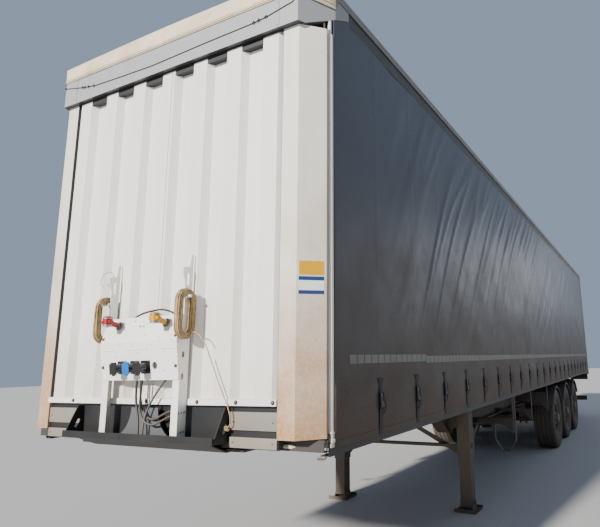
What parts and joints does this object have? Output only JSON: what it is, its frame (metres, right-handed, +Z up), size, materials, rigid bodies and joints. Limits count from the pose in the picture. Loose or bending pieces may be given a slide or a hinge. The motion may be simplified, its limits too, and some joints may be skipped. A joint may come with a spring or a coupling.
{
  "type": "curtain-sided semi trailer",
  "caption": "Curtain-sided semi trailer with pressed front wall, connection console, landing legs, wheel axles that turn and rear doors that swing open.",
  "frame": {"origin": "on the ground, under the middle of the bounding box of the rigid pieces", "axes": "+Z up, front of the trailer towards -Y, rear doors towards +Y, its own left side +X"},
  "size_m": [2.576, 14.1599, 4.1],
  "materials": {
    "chassis_paint": "dusty dark chassis paint",
    "leg_paint": "dusty paint",
    "steel": "machined steel, greased",
    "floor_board": "phenolic faced plywood",
    "white_panel": "white paint, dusty low down",
    "grey_rail": "grey anodised rail",
    "roof_fabric": "coated cloth",
    "curtain_fabric": "silver grey coated cloth, half gloss",
    "black_rubber": "matt rubber",
    "tank_paint": "black paint",
    "guard_plastic": "grey moulded plastic, dusty",
    "rear_paint": "grey paint",
    "lamp_plastic": "red lens plastic",
    "pole_paint": "pale cream paint, dusty",
    "webbing": "black webbing with zinc plated buckles",
    "rope": "beige sheathed cord, dusty",
    "cable_sheath": "black cable sheath, dusty",
    "galvanised": "galvanised steel",
    "door_paint": "white paint",
    "coupling_metal": "painted die casting",
    "socket_plastic": "black moulded plastic",
    "tyre_rubber": "worn dusty rubber",
    "wheel_paint": "silver paint, dusty"
  },
  "bodies": {
    "trailer": {"main_beams": "chassis_paint", "cross_members": "chassis_paint", "side_raves": "chassis_paint", "coupling_plate": "chassis_paint", "axle_hangers": "chassis_paint", "trailing_arms": "chassis_paint", "axles": "chassis_paint", "rear_bumper": "chassis_paint", "leg_braces": "chassis_paint", "side_brackets": "chassis_paint", "front_plate": "chassis_paint", "landing_legs": "leg_paint", "landing_feet": "leg_paint", "kingpin": "steel", "floor": "floor_board", "front_wall": "white_panel", "front_posts": "white_panel", "front_sill": "white_panel", "console_posts": "white_panel", "console_panel": "white_panel", "headboard": "grey_rail", "cant_rails": "grey_rail", "body_frame": "grey_rail", "curtain_poles": "pole_paint", "curtain_straps": "webbing", "rope_hank_left": "rope", "rope_hank_right": "rope", "rope_tail": "rope", "panel_hose": "cable_sheath", "cable_across": "cable_sheath", "cable_down": "cable_sheath", "roof_sheet": "roof_fabric", "curtain_left": "curtain_fabric", "curtain_right": "curtain_fabric", "air_springs": "black_rubber", "air_tanks": "tank_paint", "shock_absorbers": "tank_paint", "mudguards": "guard_plastic", "rear_posts": "rear_paint", "rear_beams": "rear_paint", "rear_lamps": "lamp_plastic", "door_hinges": "galvanised", "air_couplings": "coupling_metal", "sockets": "socket_plastic"},
    "rear_door_left": {"lock_rods_left": "galvanised", "door_left": "door_paint"},
    "rear_door_right": {"lock_rods_right": "galvanised", "door_right": "door_paint"},
    "road_wheel_1_left": {"tyre_1_left": "tyre_rubber", "wheel_1_left": "wheel_paint"},
    "road_wheel_1_right": {"tyre_1_right": "tyre_rubber", "wheel_1_right": "wheel_paint"},
    "road_wheel_2_left": {"tyre_2_left": "tyre_rubber", "wheel_2_left": "wheel_paint"},
    "road_wheel_2_right": {"tyre_2_right": "tyre_rubber", "wheel_2_right": "wheel_paint"},
    "road_wheel_3_left": {"tyre_3_left": "tyre_rubber", "wheel_3_left": "wheel_paint"},
    "road_wheel_3_right": {"tyre_3_right": "tyre_rubber", "wheel_3_right": "wheel_paint"}
  },
  "joints": [
    {"name": "wheel_1_left_spin", "type": "hinge", "parent": "trailer", "child": "road_wheel_1_left", "pos_m": [1.02, 1.195, 0.536], "axis": [1, 0, 0], "continuous": true},
    {"name": "wheel_1_right_spin", "type": "hinge", "parent": "trailer", "child": "road_wheel_1_right", "pos_m": [-1.02, 1.195, 0.536], "axis": [1, 0, 0], "continuous": true},
    {"name": "wheel_2_left_spin", "type": "hinge", "parent": "trailer", "child": "road_wheel_2_left", "pos_m": [1.02, 2.505, 0.536], "axis": [1, 0, 0], "continuous": true},
    {"name": "wheel_2_right_spin", "type": "hinge", "parent": "trailer", "child": "road_wheel_2_right", "pos_m": [-1.02, 2.505, 0.536], "axis": [1, 0, 0], "continuous": true},
    {"name": "wheel_3_left_spin", "type": "hinge", "parent": "trailer", "child": "road_wheel_3_left", "pos_m": [1.02, 3.815, 0.536], "axis": [1, 0, 0], "continuous": true},
    {"name": "wheel_3_right_spin", "type": "hinge", "parent": "trailer", "child": "road_wheel_3_right", "pos_m": [-1.02, 3.815, 0.536], "axis": [1, 0, 0], "continuous": true},
    {"name": "rear_door_left_hinge", "type": "hinge", "parent": "trailer", "child": "rear_door_left", "pos_m": [1.256, 7.042, 1.52], "axis": [0, 0, -1], "range_deg": [0, 262]},
    {"name": "rear_door_right_hinge", "type": "hinge", "parent": "trailer", "child": "rear_door_right", "pos_m": [-1.256, 7.042, 1.52], "axis": [0, 0, 1], "range_deg": [0, 262]}
  ]
}
